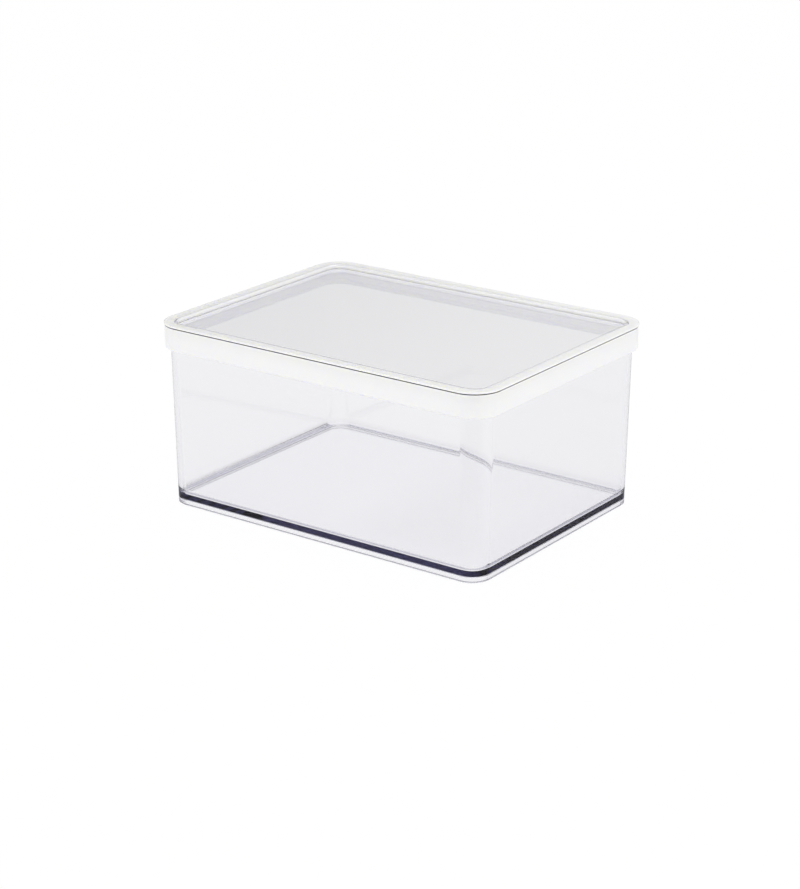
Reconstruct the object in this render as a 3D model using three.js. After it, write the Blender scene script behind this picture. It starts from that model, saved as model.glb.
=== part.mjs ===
// Clear rectangular storage canister with a lift-off lid. The tub is one drafted moulding on a hollow foot.
// The lid is a clear panel on a white frame, with a soft seal that lands on the tub's rim.
// Millimetres, +Z up. X runs along the length and Y along the width. The origin lies on the plane that the
// foot rests on, under the middle of the tub.
import * as THREE from "three";

// Overall size, measured over the closed lid
const LENGTH = 200;
const WIDTH = 150;
const HEIGHT = 96;
const CORNER_RADIUS = 15; // outside corner of the lid, seen from above
const SMALLEST_CORNER = 1; // least radius of any corner, seen from above

// Clearances
const LID_CLEARANCE = 0.3; // from the tub's rim to the lid pieces beside it
const CHANNEL_CLEARANCE = 0.3; // from the seal and the frame's web to what stands beside them

// Tub
const RIM_WALL = 1.8; // thickness of the wall at the rim
const RIM_ROUND = 0.6;
const OUTER_DRAFT = 1.0; // degrees
const INNER_DRAFT = 1.2; // degrees, so the wall thickens a little towards the floor
const FLOOR_THICKNESS = 2.3;
const FLOOR_FILLET = 3.9; // inside, between wall and floor
const FOOT_HEIGHT = 2.3; // from the resting plane up to the floor's underside
const FOOT_WALL = 2.7;
const FOOT_ROUND = 0.3; // outer edge of the foot
const FOOT_INNER_ROUND = 0.3;
const FOOT_FILLET = 0.8; // under the floor, inside the foot

// Lid panel
const PANEL_EDGE = 0.8; // thickness of the panel's outer border
const PANEL_ROUND = 0.5;
const STEP_WALL = 1.6; // wall between the border and the sunken window
const RECESS_DEPTH = 2.2; // from the border down to the window
const WINDOW_THICKNESS = 2.0;

// Lid frame
const FRAME_SETBACK = 0.4; // how far the panel's edge stands out over the skirt
const SKIRT_WALL = 1.4;
const SKIRT_HEIGHT = 12.6;
const SKIRT_ROUND = 1.3; // outer lower edge of the skirt
const WEB_THICKNESS = 2.1; // flat top of the frame, under the panel's border
const WEB_FILLET = 0.5;
const HEM_REACH = 1.0; // how far the skirt's lower hem turns in towards the tub
const HEM_HEIGHT = 2.4;
const HEM_ROUND = 0.6;

// Lid seal
const SEAL_STRIP = 1.0; // thickness of its flat strip
const SEAL_BEAD = 0.6; // radius of the bead that lands on the rim

// Fineness of the facets
const CORNER_DIVISIONS = 4; // half the sides in a corner, seen from above
const FILLET_SIDES = 4;
const SAME_POINT = 1e-6; // points of a section closer than this are one point

// Levels of the lid, counted up from the plane where the seal's bead meets the rim
const STRIP_UNDERSIDE = SEAL_BEAD;
const WEB_UNDERSIDE = STRIP_UNDERSIDE + SEAL_STRIP;
const FRAME_TOP = WEB_UNDERSIDE + WEB_THICKNESS;
const LID_TOP = FRAME_TOP + PANEL_EDGE;
const WINDOW_TOP = LID_TOP - RECESS_DEPTH;
const WINDOW_UNDERSIDE = WINDOW_TOP - WINDOW_THICKNESS;
const SKIRT_BOTTOM = FRAME_TOP - SKIRT_HEIGHT;
const HEM_TOP = SKIRT_BOTTOM + HEM_HEIGHT;

// Levels of the tub, counted up from the resting plane
const RIM_TOP = HEIGHT - LID_TOP;
const FLOOR_TOP = FOOT_HEIGHT + FLOOR_THICKNESS;

// Insets, counted inwards from the lid's outline
const SKIRT_INSIDE = FRAME_SETBACK + SKIRT_WALL;
const HEM_INSIDE = SKIRT_INSIDE + HEM_REACH;
const RIM_OUTSIDE = HEM_INSIDE + LID_CLEARANCE;
const RIM_INSIDE = RIM_OUTSIDE + RIM_WALL;
const RIM_MIDDLE = RIM_OUTSIDE + RIM_WALL / 2;
const STEP_OUTSIDE = RIM_INSIDE + LID_CLEARANCE;
const STEP_INSIDE = STEP_OUTSIDE + STEP_WALL;
const CHANNEL_OUTSIDE = SKIRT_INSIDE + CHANNEL_CLEARANCE;
const CHANNEL_INSIDE = STEP_OUTSIDE - CHANNEL_CLEARANCE;
const FOOT_OUTSIDE = RIM_OUTSIDE + drift(OUTER_DRAFT, RIM_TOP);
const FOOT_INSIDE = FOOT_OUTSIDE + FOOT_WALL;
const WALL_INSIDE = RIM_INSIDE + drift(INNER_DRAFT, RIM_TOP - FLOOR_TOP);

// How far a drafted wall moves sideways over a height
function drift(degrees, height) {
  return height * Math.tan(THREE.MathUtils.degToRad(degrees));
}

// A rounded rectangle seen from above, set in from the lid's outline with its corners on the same centres
function outline(inset) {
  const radius = Math.max(CORNER_RADIUS - inset, SMALLEST_CORNER);
  const x = LENGTH / 2 - inset - radius;
  const y = WIDTH / 2 - inset - radius;
  const quarter = Math.PI / 2;
  const path = new THREE.Path();
  path.absarc(x, y, radius, 0, quarter);
  path.absarc(-x, y, radius, quarter, 2 * quarter);
  path.absarc(-x, -y, radius, 2 * quarter, 3 * quarter);
  path.absarc(x, -y, radius, 3 * quarter, 4 * quarter);
  return path.getPoints(CORNER_DIVISIONS);
}

// The arc that rounds a corner, given the unit directions back and ahead along its sides and how far the
// arc reaches along both
function fillet(corner, back, ahead, reach) {
  const half = back.angleTo(ahead) / 2;
  const radius = reach * Math.tan(half);
  const inwards = back.clone().add(ahead).normalize();
  const centre = corner.clone().addScaledVector(inwards, radius / Math.sin(half));
  const start = corner.clone().addScaledVector(back, reach).sub(centre).angle();
  const end = corner.clone().addScaledVector(ahead, reach).sub(centre).angle();
  const clockwise = back.cross(ahead) > 0;
  return new THREE.EllipseCurve(centre.x, centre.y, radius, radius, start, end, clockwise);
}

// A wall section in the plane of inset and height, from corners [inset, height, fillet radius].
// Fillets that would overrun the side between them share it in proportion.
function section(...corners) {
  const count = corners.length;
  const spots = corners.map(([inset, height]) => new THREE.Vector2(inset, height));
  const before = spots.map((spot, i) => spots[(i + count - 1) % count].clone().sub(spot));
  const after = spots.map((spot, i) => spots[(i + 1) % count].clone().sub(spot));
  const wanted = corners.map(([, , radius = 0], i) => radius / Math.tan(before[i].angleTo(after[i]) / 2));
  const points = spots.flatMap((spot, i) => {
    if (wanted[i] === 0) {
      return [spot];
    }
    const shareBefore = before[i].length() / (wanted[i] + wanted[(i + count - 1) % count]);
    const shareAfter = after[i].length() / (wanted[i] + wanted[(i + 1) % count]);
    const reach = wanted[i] * Math.min(1, shareBefore, shareAfter);
    const arc = fillet(spot, before[i].clone().normalize(), after[i].clone().normalize(), reach);
    return arc.getPoints(FILLET_SIDES);
  });
  return points.filter((point, i) => point.distanceTo(points.at(i - 1)) > SAME_POINT);
}

// One closed body from loops of points stacked in order, each loop joined to the next
function joined(loops, strips, caps) {
  const around = loops[0].length;
  const spots = loops.flat();
  const faces = [];
  for (let k = 0; k < strips; k += 1) {
    const here = k * around;
    const there = ((k + 1) % loops.length) * around;
    for (let j = 0; j < around; j += 1) {
      const next = (j + 1) % around;
      faces.push(here + j, here + next, there + next);
      faces.push(here + j, there + next, there + j);
    }
  }
  caps.forEach(({ loop, up }) => {
    const middle = spots.push([0, 0, loops[loop][0][2]]) - 1;
    for (let j = 0; j < around; j += 1) {
      const here = loop * around + j;
      const next = loop * around + ((j + 1) % around);
      faces.push(middle, up ? here : next, up ? next : here);
    }
  });
  const geometry = new THREE.BufferGeometry();
  geometry.setAttribute("position", new THREE.Float32BufferAttribute(spots.flat(), 3));
  geometry.setIndex(faces);
  geometry.computeVertexNormals();
  return geometry;
}

// Carries a wall section round the outline
function loopsOf(points) {
  return points.map((point) => outline(point.x).map((spot) => [spot.x, spot.y, point.y]));
}

// A section that closes on itself makes a ring
function ring(...corners) {
  const loops = loopsOf(section(...corners));
  return joined(loops, loops.length, []);
}

// A section that runs from a level underside to a level upper side makes a tray, filled across the middle
function tray(...corners) {
  const loops = loopsOf(section(...corners));
  const last = loops.length - 1;
  const caps = [
    { loop: 0, up: false },
    { loop: last, up: true },
  ];
  return joined(loops, last, caps);
}

// The tub: out under the floor, down and round the foot, up the outside, over the rim and down inside
function containerShape() {
  return tray(
    [FOOT_INSIDE + 2 * FOOT_FILLET, FOOT_HEIGHT],
    [FOOT_INSIDE, FOOT_HEIGHT, FOOT_FILLET],
    [FOOT_INSIDE, 0, FOOT_INNER_ROUND],
    [FOOT_OUTSIDE, 0, FOOT_ROUND],
    [RIM_OUTSIDE, RIM_TOP, RIM_ROUND],
    [RIM_INSIDE, RIM_TOP, RIM_ROUND],
    [WALL_INSIDE, FLOOR_TOP, FLOOR_FILLET],
    [WALL_INSIDE + 2 * FLOOR_FILLET, FLOOR_TOP],
  );
}

// The panel: out under the window, up behind the step, out under the border and back over the top
function lidPanelShape() {
  return tray(
    [STEP_INSIDE + PANEL_ROUND, WINDOW_UNDERSIDE],
    [STEP_OUTSIDE, WINDOW_UNDERSIDE, PANEL_ROUND],
    [STEP_OUTSIDE, FRAME_TOP],
    [0, FRAME_TOP],
    [0, LID_TOP, PANEL_ROUND],
    [STEP_INSIDE, LID_TOP, PANEL_ROUND],
    [STEP_INSIDE, WINDOW_TOP, PANEL_ROUND],
    [STEP_INSIDE + 2 * PANEL_ROUND, WINDOW_TOP],
  );
}

// The frame: an outer skirt with a turned-in hem, and a web under the panel's border
function lidFrameShape() {
  return ring(
    [FRAME_SETBACK, SKIRT_BOTTOM, SKIRT_ROUND],
    [FRAME_SETBACK, FRAME_TOP],
    [CHANNEL_INSIDE, FRAME_TOP],
    [CHANNEL_INSIDE, WEB_UNDERSIDE],
    [SKIRT_INSIDE, WEB_UNDERSIDE, WEB_FILLET],
    [SKIRT_INSIDE, HEM_TOP],
    [HEM_INSIDE, HEM_TOP - HEM_REACH],
    [HEM_INSIDE, SKIRT_BOTTOM, HEM_ROUND],
  );
}

// The seal: a flat strip under the web, with a half-round bead over the middle of the rim
function lidSealShape() {
  return ring(
    [CHANNEL_OUTSIDE, STRIP_UNDERSIDE],
    [CHANNEL_OUTSIDE, WEB_UNDERSIDE, WEB_FILLET],
    [CHANNEL_INSIDE, WEB_UNDERSIDE],
    [CHANNEL_INSIDE, STRIP_UNDERSIDE],
    [RIM_MIDDLE + SEAL_BEAD, STRIP_UNDERSIDE],
    [RIM_MIDDLE + SEAL_BEAD, 0, SEAL_BEAD],
    [RIM_MIDDLE - SEAL_BEAD, 0, SEAL_BEAD],
    [RIM_MIDDLE - SEAL_BEAD, STRIP_UNDERSIDE],
  );
}

function piece(name, geometry, finish) {
  const mesh = new THREE.Mesh(geometry, new THREE.MeshStandardMaterial(finish));
  mesh.name = name;
  return mesh;
}

const CLEAR_PLASTIC = { color: 0xf1f0f6, roughness: 0.05, metalness: 0, transparent: true, opacity: 0.3 };
const WHITE_PLASTIC = { color: 0xf4f4f4, roughness: 0.45, metalness: 0 };
const WHITE_RUBBER = { color: 0xececec, roughness: 0.7, metalness: 0 };

const lid = new THREE.Group();
lid.position.z = RIM_TOP;
lid.add(
  piece("lid_panel", lidPanelShape(), CLEAR_PLASTIC),
  piece("lid_frame", lidFrameShape(), WHITE_PLASTIC),
  piece("lid_seal", lidSealShape(), WHITE_RUBBER),
);

const canister = new THREE.Group();
canister.add(piece("container", containerShape(), CLEAR_PLASTIC), lid);

export default canister;
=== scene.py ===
"""A clear rectangular storage canister with a lift-off lid, on a white floor in soft studio light.

Metres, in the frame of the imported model: +Z up, X along the length, Y along the width, and the origin on the
resting plane under the middle of the tub.
"""
import math

import bpy
from mathutils import Matrix, Vector


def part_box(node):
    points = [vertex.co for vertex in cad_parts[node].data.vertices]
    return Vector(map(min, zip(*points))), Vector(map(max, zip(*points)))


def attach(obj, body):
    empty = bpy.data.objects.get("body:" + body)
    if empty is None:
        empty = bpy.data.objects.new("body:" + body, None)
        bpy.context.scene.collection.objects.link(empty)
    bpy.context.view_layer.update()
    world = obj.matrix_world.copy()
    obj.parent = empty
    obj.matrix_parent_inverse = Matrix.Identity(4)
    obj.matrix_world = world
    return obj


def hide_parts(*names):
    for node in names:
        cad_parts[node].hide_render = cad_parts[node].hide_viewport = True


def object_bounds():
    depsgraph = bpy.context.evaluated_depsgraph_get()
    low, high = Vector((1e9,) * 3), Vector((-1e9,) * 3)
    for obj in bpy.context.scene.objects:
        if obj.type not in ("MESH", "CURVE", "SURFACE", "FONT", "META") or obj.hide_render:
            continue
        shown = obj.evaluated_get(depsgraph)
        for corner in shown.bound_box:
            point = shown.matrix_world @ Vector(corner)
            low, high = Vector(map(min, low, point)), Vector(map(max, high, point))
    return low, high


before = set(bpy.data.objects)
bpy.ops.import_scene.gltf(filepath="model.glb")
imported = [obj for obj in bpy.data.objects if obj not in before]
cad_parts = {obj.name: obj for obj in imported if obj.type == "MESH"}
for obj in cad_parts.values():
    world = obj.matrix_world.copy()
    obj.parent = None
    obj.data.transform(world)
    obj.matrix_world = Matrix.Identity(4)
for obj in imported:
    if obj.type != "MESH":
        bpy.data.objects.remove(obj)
CAD_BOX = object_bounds()

MM = 0.001

# Camera, placed about the middle of the canister's box
AZIMUTH = math.radians(36.015)  # from -Y towards +X
ELEVATION = math.radians(19.689)
DISTANCE = 1193.459 * MM
ASIDE = -0.659 * MM
ABOVE = -16.508 * MM
SENSOR = 36.0  # millimetres, along the picture's longer side
FOCAL_LENGTH = 95.27  # millimetres
FRONT = Vector((math.sin(AZIMUTH), -math.cos(AZIMUTH), 0))
RIGHT = Vector((math.cos(AZIMUTH), math.sin(AZIMUTH), 0))

# Room and lamp
BRIGHT_END = math.radians(43)  # from +Y towards -X
LEAST_LIGHT = 0.9
MOST_LIGHT = 1.07
MIRRORED_LEFT = (-0.25, 0)  # share of RIGHT in a direction, and the mirrored room's level there
MIRRORED_RIGHT = (0.15, 0.5)
LAMP_PLACE = (0.3, -0.1, 1.6)
LAMP_SIZE = 1.4
LAMP_POWER = 3.5  # watts
BOUNCES = 32

# Floor
FLOOR_HALF = 8.0
FLOOR_GAP = 0.02 * MM  # between the floor and the foot
CONTACT_REACH = 1.5 * MM  # of the fine shade along the foot
CONTACT_GLOW = 0.6  # share of the floor that is seen as plain white, at the foot and in the open
OPEN_GLOW = 0.95
NEAR_FLOOR = 8 * MM  # outside the canister's outline; the painted shade in mirrored rays lightens from here to FAR_FLOOR
FAR_FLOOR = 30 * MM

# Colours
WHITE = (1, 1, 1, 1)
SATIN_WHITE = (0.88, 0.88, 0.878, 1)
# painted light: a whiter white for the frame's inner side and the seal, standing in for more light inside the
# lid
BRIGHTENED_WHITE = (0.985, 0.985, 0.975, 1)
CLOUD_GREY = (0.75, 0.75, 0.75, 1)
# painted shade: the dark shadow line in the joint between the frame's side and the panel
JOINT_SHADOW_GREY = (0.03, 0.03, 0.03, 1)
VIOLET = (0.28, 0.27, 0.46, 1)  # what the clear plastic lets through in a long path
TUB_DENSITY = 32  # of the violet tint
PANEL_DENSITY = 10
FLOOR_PAINT = (0.93, 0.93, 0.93, 1)
# painted shade: the floor's colours in mirrored rays, darker than its paint, darkest close to the canister and
# straight ahead
MIRRORED_NEAR = (0.47, 0.46, 0.52, 1)
MIRRORED_FAR = (0.65, 0.65, 0.65, 1)
MIRRORED_AHEAD = (0, 0, 0, 1)

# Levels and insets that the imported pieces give
PANEL_LOW, PANEL_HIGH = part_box("lid_panel")
FRAME_LOW, FRAME_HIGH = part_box("lid_frame")
SEAL_LOW, SEAL_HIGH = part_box("lid_seal")
TUB_LOW, TUB_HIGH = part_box("container")
HALF_LENGTH = PANEL_HIGH.x
HALF_WIDTH = PANEL_HIGH.y
LID_TOP = PANEL_HIGH.z
WINDOW_UNDERSIDE = PANEL_LOW.z
FRAME_TOP = FRAME_HIGH.z
SKIRT_BOTTOM = FRAME_LOW.z
FRAME_SETBACK = HALF_LENGTH - FRAME_HIGH.x
WEB_UNDERSIDE = SEAL_HIGH.z
CHANNEL_OUTSIDE = HALF_LENGTH - SEAL_HIGH.x
RIM_TOP = TUB_HIGH.z
RIM_OUTSIDE = HALF_LENGTH - TUB_HIGH.x

# Plan
CORNER_RADIUS = 15 * MM  # outside corner of the lid, seen from above
CORNER_SIDES = 32

# Tub
RIM_WALL = 1.8 * MM
RIM_ROUND = 0.6 * MM
OUTER_DRAFT = math.radians(1.0)
INNER_DRAFT = math.radians(1.2)
FLOOR_THICKNESS = 2.3 * MM
FLOOR_FILLET = 3.9 * MM
FOOT_HEIGHT = 2.3 * MM
FOOT_WALL = 2.7 * MM
FOOT_ROUND = 0.3 * MM
FOOT_FILLET = 0.8 * MM

# Lid
LID_CLEARANCE = 0.3 * MM
PANEL_ROUND = 0.5 * MM
STEP_WALL = 1.6 * MM
WINDOW_THICKNESS = 2.0 * MM
SKIRT_WALL = 1.4 * MM
SKIRT_ROUND = 1.3 * MM
WEB_FILLET = 0.5 * MM
HEM_REACH = 1.0 * MM
HEM_HEIGHT = 2.4 * MM
HEM_ROUND = 0.6 * MM
SEAL_STRIP = 1.0 * MM
SEAL_BEAD = 0.6 * MM
JOINT_FILM = 0.05 * MM  # air over the seal and under its bead
BOND = 0.03 * MM  # how far the frame and the seal are sunk into the panel that they are moulded on
JOINT_SHADE = 0.6 * MM  # height of the painted shadow line where the frame's side meets the panel

# Edges
EDGE_ROUND = 0.15 * MM  # least rounding of any moulded edge
FILLET_SIDES = 8

FLOOR_TOP = FOOT_HEIGHT + FLOOR_THICKNESS
WINDOW_TOP = WINDOW_UNDERSIDE + WINDOW_THICKNESS
HEM_TOP = SKIRT_BOTTOM + HEM_HEIGHT
STRIP_UNDERSIDE = WEB_UNDERSIDE - SEAL_STRIP
SKIRT_INSIDE = FRAME_SETBACK + SKIRT_WALL
HEM_INSIDE = SKIRT_INSIDE + HEM_REACH
RIM_INSIDE = RIM_OUTSIDE + RIM_WALL
RIM_MIDDLE = RIM_OUTSIDE + RIM_WALL / 2
STEP_OUTSIDE = RIM_INSIDE + LID_CLEARANCE
STEP_INSIDE = STEP_OUTSIDE + STEP_WALL
CHANNEL_INSIDE = STEP_OUTSIDE + BOND
FOOT_OUTSIDE = RIM_OUTSIDE + RIM_TOP * math.tan(OUTER_DRAFT)
FOOT_INSIDE = FOOT_OUTSIDE + FOOT_WALL
WALL_INSIDE = RIM_INSIDE + (RIM_TOP - FLOOR_TOP) * math.tan(INNER_DRAFT)


def add_camera():
    """The camera at the photograph's angle."""
    back = FRONT * math.cos(ELEVATION) + Vector((0, 0, math.sin(ELEVATION)))
    up = back.cross(RIGHT)
    lens = bpy.data.cameras.new("photo_camera")
    lens.sensor_width = SENSOR
    lens.lens = FOCAL_LENGTH
    lens.clip_start = 0.01
    lens.clip_end = 50
    camera = bpy.data.objects.new("photo_camera", lens)
    middle = (CAD_BOX[0] + CAD_BOX[1]) / 2
    camera.location = middle + ASIDE * RIGHT + ABOVE * up + DISTANCE * back
    camera.rotation_euler = (-back).to_track_quat("-Z", "Y").to_euler()
    bpy.context.scene.collection.objects.link(camera)
    bpy.context.scene.camera = camera


def section(corners, closed):
    """A wall section as (point, normal) pairs in the plane of inset and height, every corner rounded.

    Corners are (inset, height, radius), and one without a radius gets the least rounding. The solid lies on
    the right of the way round. Fillets that would overrun the side between them share it in proportion.
    """
    spots = [Vector(corner[:2]) for corner in corners]
    count = len(spots)
    wanted = []
    for i, spot in enumerate(spots):
        into = (spot - spots[i - 1]).normalized()
        out = (spots[(i + 1) % count] - spot).normalized()
        turn = math.atan2(into.x * out.y - into.y * out.x, into.dot(out))
        radius = corners[i][2] if len(corners[i]) > 2 else EDGE_ROUND
        wanted.append((into, turn, radius * math.tan(abs(turn) / 2)))
    points = []
    for i, spot in enumerate(spots):
        into, turn, reach = wanted[i]
        if not closed and i in (0, count - 1):
            side = into if i else (spots[1] - spot).normalized()
            points.append((spot, Vector((-side.y, side.x))))
            continue
        before = (spot - spots[i - 1]).length / (reach + wanted[i - 1][2])
        after = (spots[(i + 1) % count] - spot).length / (reach + wanted[(i + 1) % count][2])
        reach *= min(1, before, after)
        radius = math.copysign(reach / math.tan(abs(turn) / 2), turn)
        start_normal = Vector((-into.y, into.x))
        centre = spot - into * reach + start_normal * radius
        for k in range(FILLET_SIDES + 1):
            normal = Matrix.Rotation(turn * k / FILLET_SIDES, 2) @ start_normal
            points.append((centre - normal * radius, normal))
    return points


def stations():
    """Corner centre and outward direction of each point round the plan, counter-clockwise from +X."""
    found = []
    for quarter in range(4):
        middle = (quarter + 0.5) * math.pi / 2
        centre = Vector((
            math.copysign(HALF_LENGTH - CORNER_RADIUS, math.cos(middle)),
            math.copysign(HALF_WIDTH - CORNER_RADIUS, math.sin(middle)),
            0,
        ))
        for k in range(CORNER_SIDES + 1):
            angle = (quarter + k / CORNER_SIDES) * math.pi / 2
            found.append((centre, Vector((math.cos(angle), math.sin(angle), 0))))
    return found


def moulding(name, corners, closed, node, body, material):
    """A wall section carried round the plan, as a closed ring or as a tray filled across the middle."""
    spots = []
    normals = []
    faces = []
    around = stations()
    profile = section(corners, closed)
    for point, normal in profile:
        for centre, out in around:
            spots.append(centre + out * (CORNER_RADIUS - point.x) + Vector((0, 0, point.y)))
            normals.append((-normal.x * out + Vector((0, 0, normal.y))).normalized())
    total = len(around)
    strips = len(profile) if closed else len(profile) - 1
    for k in range(strips):
        here = k * total
        there = (k + 1) % len(profile) * total
        for j in range(total):
            following = (j + 1) % total
            faces.append((here + j, here + following, there + following, there + j))
    if not closed:
        faces.append(tuple(reversed(range(total))))
        faces.append(tuple(range(strips * total, (strips + 1) * total)))
    mesh = bpy.data.meshes.new(name)
    mesh.from_pydata(spots, [], faces)
    mesh.shade_smooth()
    mesh.normals_split_custom_set_from_vertices(normals)
    mesh.materials.append(material)
    piece = bpy.data.objects.new(name, mesh)
    bpy.context.scene.collection.objects.link(piece)
    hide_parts(node)
    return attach(piece, body)


def new_material(name):
    """An empty node material and its node tree."""
    material = bpy.data.materials.new(name)
    material.use_nodes = True
    material.node_tree.nodes.clear()
    return material, material.node_tree


def add_node(tree, kind, inputs, **settings):
    """A node with its settings, and with inputs that are values or other nodes' outputs."""
    node = tree.nodes.new("ShaderNode" + kind)
    for name, value in settings.items():
        setattr(node, name, value)
    for name, value in inputs.items():
        if isinstance(value, bpy.types.NodeSocket):
            tree.links.new(value, node.inputs[name])
        else:
            node.inputs[name].default_value = value
    return node


def coordinates(tree, kind):
    """The object's own coordinates or normal, or the direction in the room."""
    return add_node(tree, "TexCoord", {}).outputs[kind]


def noise(tree, scale, detail):
    """Noise in the object's own coordinates, by turns per metre."""
    inputs = {"Vector": coordinates(tree, "Object"), "Scale": scale, "Detail": detail}
    return add_node(tree, "TexNoise", inputs).outputs["Fac"]


def level(tree, value, start, end):
    """A level that follows a value from start to end, (value, level) pairs, and stays level beyond them."""
    inputs = {"Value": value}
    for (spot, height), side in ((start, "Min"), (end, "Max")):
        inputs["From " + side] = spot
        inputs["To " + side] = height
    return add_node(tree, "MapRange", inputs).outputs["Result"]


def varied(tree, scale, detail, least, most):
    """A level that varies with noise, whose values lie mostly between 0.3 and 0.7."""
    return level(tree, noise(tree, scale, detail), (0.3, least), (0.7, most))


def bump(tree, height, strength, distance):
    """A normal that follows small heights."""
    inputs = {"Height": height, "Strength": strength, "Distance": distance}
    return add_node(tree, "Bump", inputs).outputs["Normal"]


def maths(tree, operation, *values):
    """The result of a sum."""
    return add_node(tree, "Math", dict(enumerate(values)), operation=operation).outputs[0]


def along(tree, direction, axis):
    """How far a direction goes along an axis."""
    return add_node(tree, "VectorMath", {0: direction, 1: axis}, operation="DOT_PRODUCT").outputs["Value"]


def mixed(tree, share, one, other):
    """One colour that turns into another with a share from 0 to 1."""
    return add_node(tree, "Mix", {"Factor": share, "A": one, "B": other}, data_type="RGBA").outputs["Result"]


def mixed_shader(tree, share, one, other):
    """One shader that turns into another with a share from 0 to 1."""
    return add_node(tree, "MixShader", {0: share, 1: one, 2: other}).outputs["Shader"]


def any_ray(tree, *kinds):
    """1 for rays of the kinds named, and 0 for the rest."""
    path = add_node(tree, "LightPath", {})
    total = path.outputs[kinds[0]]
    for kind in kinds[1:]:
        total = maths(tree, "MAXIMUM", total, path.outputs[kind])
    return total


def clear_plastic(name, density):
    """Polished clear plastic, with a faint violet tint that shows in long paths."""
    material, tree = new_material(name)
    polished = add_node(tree, "BsdfPrincipled", {
        "Base Color": WHITE,
        "Transmission Weight": 1,
        "IOR": 1.5,
        "Roughness": varied(tree, 60, 3, 0, 0.02),
        "Normal": bump(tree, noise(tree, 25, 1), 0.02, 0.2 * MM),
    })
    passing = add_node(tree, "BsdfTransparent", {"Color": WHITE})
    lighting = any_ray(tree, "Is Shadow Ray", "Is Diffuse Ray")
    tint = add_node(tree, "VolumeAbsorption", {"Color": VIOLET, "Density": density})
    add_node(tree, "OutputMaterial", {
        "Surface": mixed_shader(tree, lighting, polished.outputs["BSDF"], passing.outputs["BSDF"]),
        "Volume": tint.outputs["Volume"],
    })
    return material


def outer_side(tree):
    """1 where a surface faces away from the middle of the canister, and 0 elsewhere."""
    facing = along(tree, coordinates(tree, "Object"), coordinates(tree, "Normal"))
    return maths(tree, "GREATER_THAN", facing, 0)


def joint_shadow_line(tree, low, high):
    """1 between two heights on the outer side of a piece, where a shadow line is painted, and 0 elsewhere."""
    height = add_node(tree, "SeparateXYZ", {"Vector": coordinates(tree, "Object")}).outputs["Z"]
    near = maths(tree, "COMPARE", height, (low + high) / 2, (high - low) / 2)
    return maths(tree, "MULTIPLY", near, outer_side(tree))


def white_plastic(name, outside, inside, roughness, grain, joint=None):
    """Moulded white plastic with a fine grain, an inner side whose own colour paints in light where it is
    lighter, and a dark painted shadow line at a joint between two heights if given.
    """
    material, tree = new_material(name)
    # painted light: the inner side takes a colour of its own, lighter on the frame
    tone = mixed(tree, outer_side(tree), inside, outside)
    paint = mixed(tree, varied(tree, 40, 4, 0, 0.06), tone, CLOUD_GREY)
    if joint:
        # painted shade: the colour turns to a dark shadow grey along the joint
        paint = mixed(tree, joint_shadow_line(tree, *joint), paint, JOINT_SHADOW_GREY)
    shader = add_node(tree, "BsdfPrincipled", {
        "Base Color": paint,
        "Subsurface Weight": 1,
        "Subsurface Radius": (1, 1, 1.3),
        "Subsurface Scale": 3 * MM,
        "Roughness": varied(tree, 300, 3, *roughness),
        "Normal": bump(tree, noise(tree, grain, 2), 0.1, 0.05 * MM),
    })
    add_node(tree, "OutputMaterial", {"Surface": shader.outputs["BSDF"]})
    return material


def mirrored_floor_shade(tree):
    """The floor's colour in mirrored rays as painted shade: darker close to the canister and straight ahead of
    it.
    """
    place = coordinates(tree, "Object")
    aside = add_node(tree, "VectorMath", {0: place}, operation="ABSOLUTE").outputs["Vector"]
    sides = add_node(tree, "SeparateXYZ", {"Vector": aside}).outputs
    past_ends = maths(tree, "SUBTRACT", sides["X"], HALF_LENGTH)
    past_sides = maths(tree, "SUBTRACT", sides["Y"], HALF_WIDTH)
    distance = maths(tree, "MAXIMUM", past_ends, past_sides)
    direction = add_node(tree, "VectorMath", {0: place}, operation="NORMALIZE").outputs["Vector"]
    ahead = level(tree, along(tree, direction, FRONT), (0.75, 0), (0.95, 1))
    far = mixed(tree, ahead, MIRRORED_FAR, MIRRORED_AHEAD)
    return mixed(tree, level(tree, distance, (NEAR_FLOOR, 0), (FAR_FLOOR, 1)), MIRRORED_NEAR, far)


def add_floor():
    """A wide white floor that keeps the canister's soft shadow."""
    material, tree = new_material("floor_white")
    # painted shade: mirrored rays see the floor in darker colours
    tone = mixed(tree, any_ray(tree, "Is Glossy Ray"), FLOOR_PAINT, mirrored_floor_shade(tree))
    paint = add_node(tree, "BsdfDiffuse", {"Color": tone})
    glow = add_node(tree, "Emission", {})
    openness = add_node(tree, "AmbientOcclusion", {"Distance": CONTACT_REACH}, samples=4).outputs["AO"]
    plain_white = level(tree, openness, (0, CONTACT_GLOW), (1, OPEN_GLOW))
    seen = any_ray(tree, "Is Camera Ray", "Is Transmission Ray")
    glow_share = maths(tree, "MULTIPLY", seen, plain_white)
    surface = mixed_shader(tree, glow_share, paint.outputs["BSDF"], glow.outputs["Emission"])
    add_node(tree, "OutputMaterial", {"Surface": surface})
    half = FLOOR_HALF
    corners = [(-half, -half, 0), (half, -half, 0), (half, half, 0), (-half, half, 0)]
    mesh = bpy.data.meshes.new("floor")
    mesh.from_pydata(corners, [], [(0, 1, 2, 3)])
    mesh.materials.append(material)
    floor = bpy.data.objects.new("floor", mesh)
    floor.location.z = -FLOOR_GAP
    bpy.context.scene.collection.objects.link(floor)


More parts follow.
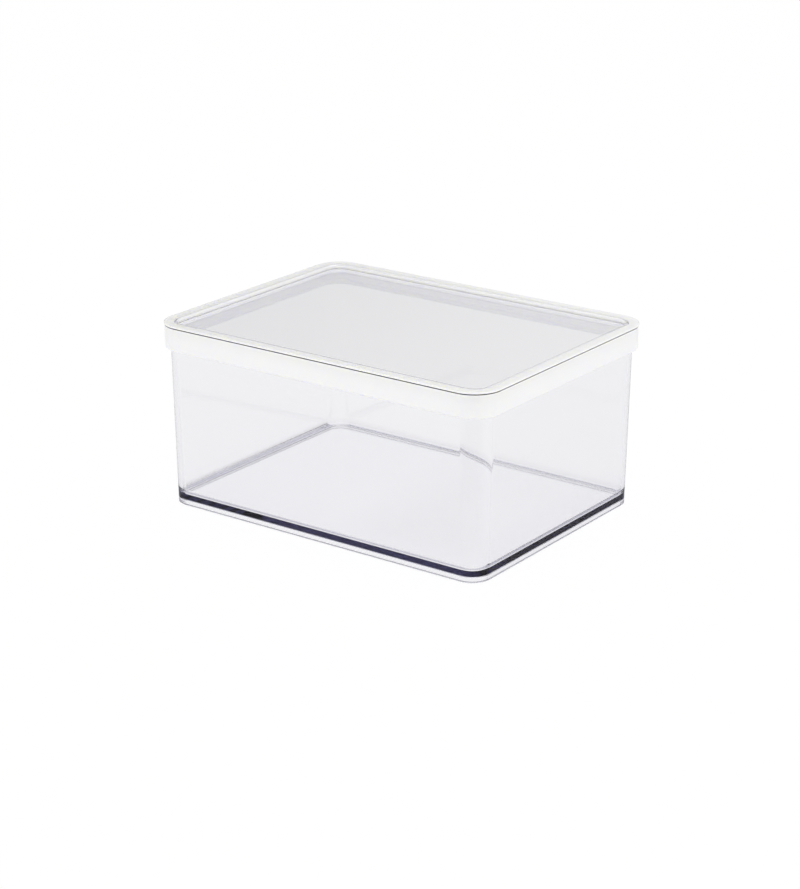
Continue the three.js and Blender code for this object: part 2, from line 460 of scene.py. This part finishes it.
def add_light():
    """A white room, a little brighter at one end, with one broad lamp above."""
    world = bpy.data.worlds.new("studio")
    bpy.context.scene.world = world
    world.use_nodes = True
    tree = world.node_tree
    direction = coordinates(tree, "Generated")
    bright_end = (-math.sin(BRIGHT_END), math.cos(BRIGHT_END), 0)
    lighting = level(tree, along(tree, direction, bright_end), (-1, LEAST_LIGHT), (1, MOST_LIGHT))
    mirrored = level(tree, along(tree, direction, RIGHT), MIRRORED_LEFT, MIRRORED_RIGHT)
    unseen = mixed(tree, any_ray(tree, "Is Glossy Ray"), lighting, mirrored)
    room = mixed(tree, any_ray(tree, "Is Camera Ray", "Is Transmission Ray"), unseen, WHITE)
    tree.links.new(room, tree.nodes["Background"].inputs["Color"])
    lamp = bpy.data.lights.new("above", "AREA")
    lamp.shape = "DISK"
    lamp.size = LAMP_SIZE
    lamp.energy = LAMP_POWER
    holder = bpy.data.objects.new("above", lamp)
    holder.location = LAMP_PLACE
    holder.rotation_euler = holder.location.to_track_quat("Z", "Y").to_euler()
    bpy.context.scene.collection.objects.link(holder)


add_camera()

CLEAR_TUB = clear_plastic("clear_tub", TUB_DENSITY)
CLEAR_PANEL = clear_plastic("clear_panel", PANEL_DENSITY)
# The frame's inner side takes the brightened white as painted light, and a dark painted shadow line runs along
# the top of its outer side.
JOINT_SHADOW_SPAN = (FRAME_TOP - JOINT_SHADE, FRAME_TOP)
WHITE_FRAME = white_plastic("white_frame", SATIN_WHITE, BRIGHTENED_WHITE, (0.38, 0.5), 4000, JOINT_SHADOW_SPAN)
WHITE_SEAL = white_plastic("white_seal", BRIGHTENED_WHITE, BRIGHTENED_WHITE, (0.55, 0.7), 2500)

moulding("tub_shell", [
    (FOOT_INSIDE + 2 * FOOT_FILLET, FOOT_HEIGHT),
    (FOOT_INSIDE, FOOT_HEIGHT, FOOT_FILLET),
    (FOOT_INSIDE, 0, FOOT_ROUND),
    (FOOT_OUTSIDE, 0, FOOT_ROUND),
    (RIM_OUTSIDE, RIM_TOP, RIM_ROUND),
    (RIM_INSIDE, RIM_TOP, RIM_ROUND),
    (WALL_INSIDE, FLOOR_TOP, FLOOR_FILLET),
    (WALL_INSIDE + 2 * FLOOR_FILLET, FLOOR_TOP),
], False, "container", "tub", CLEAR_TUB)

moulding("lid_window_panel", [
    (STEP_INSIDE + PANEL_ROUND, WINDOW_UNDERSIDE),
    (STEP_OUTSIDE, WINDOW_UNDERSIDE, PANEL_ROUND),
    (STEP_OUTSIDE, FRAME_TOP),
    (0, FRAME_TOP),
    (0, LID_TOP, PANEL_ROUND),
    (STEP_INSIDE, LID_TOP, PANEL_ROUND),
    (STEP_INSIDE, WINDOW_TOP, PANEL_ROUND),
    (STEP_INSIDE + 2 * PANEL_ROUND, WINDOW_TOP),
], False, "lid_panel", "lid", CLEAR_PANEL)

moulding("lid_skirt_frame", [
    (FRAME_SETBACK, SKIRT_BOTTOM, SKIRT_ROUND),
    (FRAME_SETBACK, FRAME_TOP + BOND),
    (CHANNEL_INSIDE, FRAME_TOP + BOND),
    (CHANNEL_INSIDE, WEB_UNDERSIDE),
    (SKIRT_INSIDE, WEB_UNDERSIDE, WEB_FILLET),
    (SKIRT_INSIDE, HEM_TOP),
    (HEM_INSIDE, HEM_TOP - HEM_REACH),
    (HEM_INSIDE, SKIRT_BOTTOM, HEM_ROUND),
], True, "lid_frame", "lid", WHITE_FRAME)

moulding("lid_seal_ring", [
    (CHANNEL_OUTSIDE, STRIP_UNDERSIDE),
    (CHANNEL_OUTSIDE, WEB_UNDERSIDE - JOINT_FILM, WEB_FILLET),
    (CHANNEL_INSIDE, WEB_UNDERSIDE - JOINT_FILM),
    (CHANNEL_INSIDE, STRIP_UNDERSIDE),
    (RIM_MIDDLE + SEAL_BEAD, STRIP_UNDERSIDE),
    (RIM_MIDDLE + SEAL_BEAD, RIM_TOP + JOINT_FILM, SEAL_BEAD),
    (RIM_MIDDLE - SEAL_BEAD, RIM_TOP + JOINT_FILM, SEAL_BEAD),
    (RIM_MIDDLE - SEAL_BEAD, STRIP_UNDERSIDE),
], True, "lid_seal", "lid", WHITE_SEAL)

add_floor()
add_light()
bpy.context.scene.view_settings.view_transform = "Standard"
for kind in ("max", "diffuse", "glossy", "transmission", "transparent_max"):
    setattr(bpy.context.scene.cycles, kind + "_bounces", BOUNCES)
